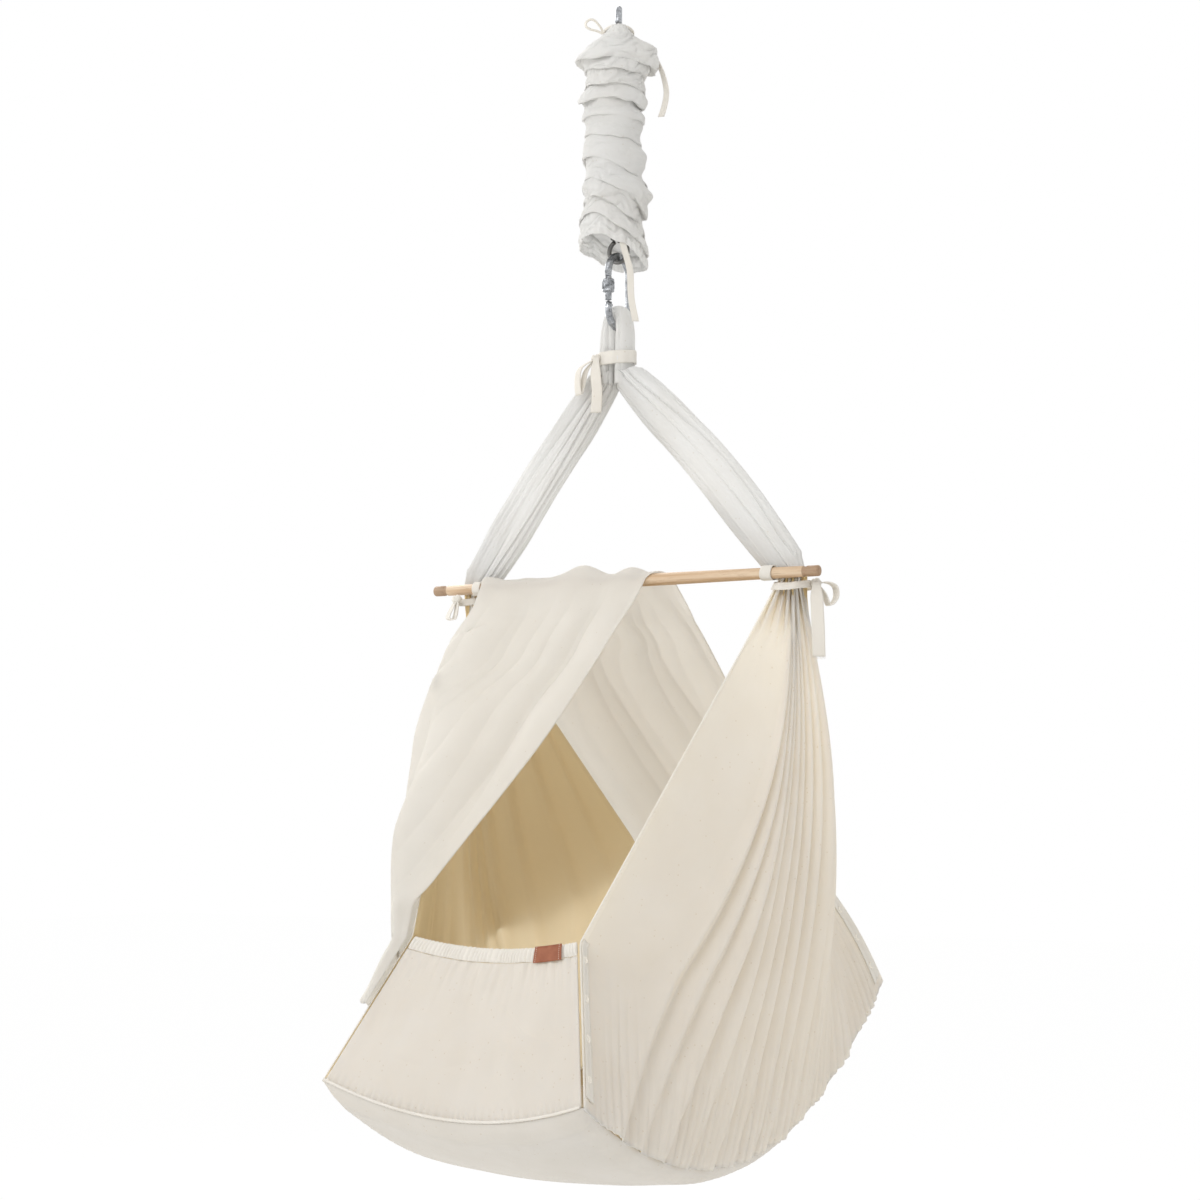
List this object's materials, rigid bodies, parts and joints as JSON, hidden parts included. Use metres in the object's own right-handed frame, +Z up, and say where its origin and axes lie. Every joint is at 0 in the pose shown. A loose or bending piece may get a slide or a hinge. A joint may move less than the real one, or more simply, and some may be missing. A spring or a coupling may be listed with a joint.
{
  "type": "hanging baby cradle",
  "caption": "Cloth cradle with a wooden spreader bar, hung from a covered extension spring between screw carabiners, with fold-down end panels and a muslin veil.",
  "frame": {"origin": "inside of the top bend of the upper carabiner, where the ceiling hook bears", "axes": "+X along the spreader bar towards the wing without the veil, +Y along the mattress towards the raised end, +Z up along the spring"},
  "size_m": [0.6378, 0.7586, 1.6062],
  "materials": {
    "cotton": "undyed plain-weave cotton with seed flecks",
    "muslin": "thin undyed muslin",
    "cotton_tape": "narrow woven tape",
    "galvanised_steel": "dull galvanised",
    "oak": "sanded, bare",
    "leather": "matt, blank"
  },
  "bodies": {
    "upper_carabiner": {"upper_carabiner_frame": "galvanised_steel", "upper_carabiner_gate_pin": "galvanised_steel"},
    "upper_gate": {"upper_carabiner_gate": "galvanised_steel"},
    "upper_lock": {"upper_carabiner_lock": "galvanised_steel"},
    "spring_top": {"spring_top_hook": "galvanised_steel", "spring_coil": "galvanised_steel", "spring_sleeve": "cotton", "sleeve_drawcord": "cotton_tape", "sleeve_upper_tape": "cotton_tape"},
    "spring_low": {"spring_low_hook": "galvanised_steel", "sleeve_lower_tape": "cotton_tape"},
    "lower_carabiner": {"lower_carabiner_frame": "galvanised_steel", "lower_carabiner_gate_pin": "galvanised_steel"},
    "lower_gate": {"lower_carabiner_gate": "galvanised_steel"},
    "lower_lock": {"lower_carabiner_lock": "galvanised_steel"},
    "front_end": {"front_panel": "cotton", "front_elastic_hem": "cotton", "front_piping": "cotton", "leather_tag": "leather"},
    "back_end": {"back_panel": "cotton", "back_elastic_hem": "cotton", "back_piping": "cotton"},
    "cradle": {"gather_loop": "cotton", "neck_tie": "cotton_tape", "neck_tie_bow": "cotton_tape", "neck_tie_tail": "cotton_tape", "left_leg": "cotton", "left_wing": "cotton", "left_front_snaps": "cotton", "left_back_snaps": "cotton", "left_bar_turn": "cotton_tape", "left_cloth_turn": "cotton_tape", "left_bar_bow": "cotton_tape", "right_leg": "cotton", "right_wing": "cotton", "right_front_snaps": "cotton", "right_back_snaps": "cotton", "right_bar_turn": "cotton_tape", "right_cloth_turn": "cotton_tape", "right_bar_bow": "cotton_tape", "right_bar_tail": "cotton_tape", "spreader_bar": "oak", "base_tray": "cotton", "mattress": "cotton", "veil": "muslin"}
  },
  "joints": [
    {"name": "spring_sway", "type": "hinge", "parent": "upper_carabiner", "child": "spring_top", "pos_m": [0, 0, -0.095], "axis": [-0.5548, 0.832, 0], "range_deg": [-5, 5]},
    {"name": "spring_bounce", "type": "slide", "parent": "spring_top", "child": "spring_low", "axis": [0, 0, -1], "range_m": [0, 0.15], "stiffness_N_per_m": 500, "springref_m": -0.2, "deforming": ["spring_coil", "spring_sleeve"]},
    {"name": "carabiner_sway", "type": "hinge", "parent": "spring_low", "child": "lower_carabiner", "pos_m": [0, 0, -0.3487], "axis": [1, 0, 0], "range_deg": [-12, 12]},
    {"name": "cradle_sway", "type": "hinge", "parent": "lower_carabiner", "child": "cradle", "pos_m": [0, 0, -0.4404], "axis": [0, 1, 0], "range_deg": [-10, 10]},
    {"name": "lower_gate_swing", "type": "hinge", "parent": "lower_carabiner", "child": "lower_gate", "pos_m": [0, -0.025, -0.4124], "axis": [-1, 0, 0], "range_deg": [0, 22], "stiffness_Nm_per_rad": 0.06, "springref_deg": -17.19},
    {"name": "lower_lock_travel", "type": "slide", "parent": "lower_gate", "child": "lower_lock", "axis": [0, 0, 1], "range_m": [0, 0.01]},
    {"name": "upper_gate_swing", "type": "hinge", "parent": "upper_carabiner", "child": "upper_gate", "pos_m": [0.01387, -0.0208, -0.067], "axis": [-0.832, -0.5548, 0], "range_deg": [0, 22], "stiffness_Nm_per_rad": 0.06, "springref_deg": -17.19},
    {"name": "upper_lock_travel", "type": "slide", "parent": "upper_gate", "child": "upper_lock", "axis": [0, 0, 1], "range_m": [0, 0.01]},
    {"name": "front_panel_fold", "type": "hinge", "parent": "cradle", "child": "front_end", "pos_m": [0, -0.3775, -1.4785], "axis": [1, 0, 0], "range_deg": [0, 150]},
    {"name": "back_panel_fold", "type": "hinge", "parent": "cradle", "child": "back_end", "pos_m": [0, 0.3775, -1.369], "axis": [-1, 0, 0], "range_deg": [0, 150]}
  ]
}
